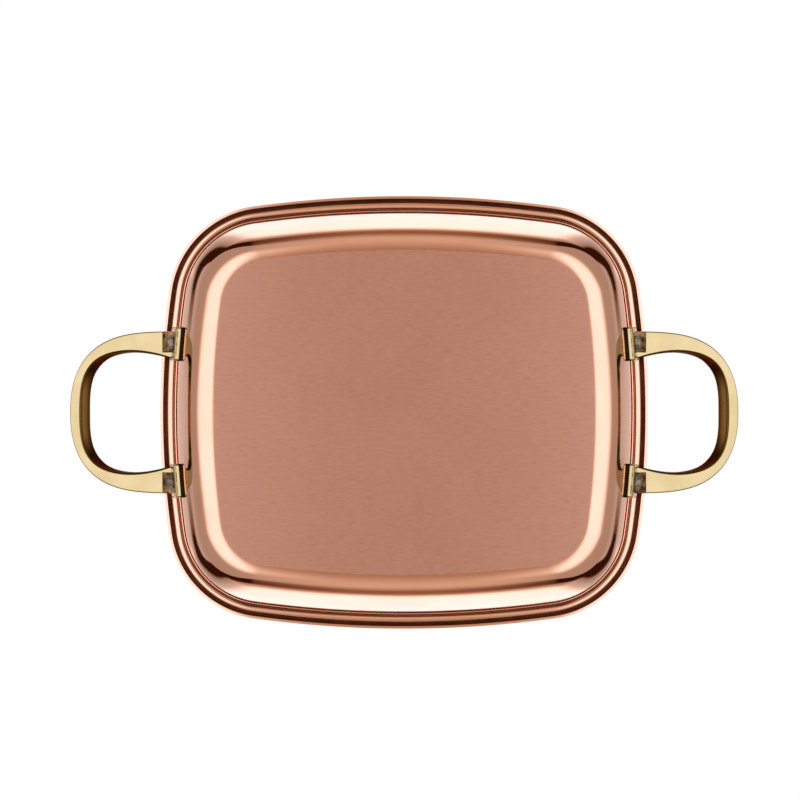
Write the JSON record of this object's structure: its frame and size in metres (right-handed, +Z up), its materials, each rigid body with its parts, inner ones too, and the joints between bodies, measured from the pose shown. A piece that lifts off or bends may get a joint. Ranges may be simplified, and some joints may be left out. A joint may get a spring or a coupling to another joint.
{
  "type": "square pan",
  "caption": "Shallow square pan of drawn copper with a curled rim, a tin lining and riveted cast brass D handles on its ends.",
  "frame": {"origin": "centre of the base's underside, which is the centre of the bounding box at its bottom", "axes": "+Z up out of the open pan, +X from the left handle to the right handle, front is -Y"},
  "size_m": [0.2744, 0.1772, 0.0491],
  "materials": {
    "copper": "polished copper, brushed on the base",
    "tin": "wiped tin, satin",
    "cast_brass": "polished, as cast in the scoops",
    "rivet": "hammered, dull"
  },
  "bodies": {
    "root": {"pan_body": "copper", "tin_lining": "tin", "handle_left": "cast_brass", "handle_right": "cast_brass", "rivet_left_front": "rivet", "rivet_left_back": "rivet", "rivet_right_front": "rivet", "rivet_right_back": "rivet"}
  },
  "joints": []
}
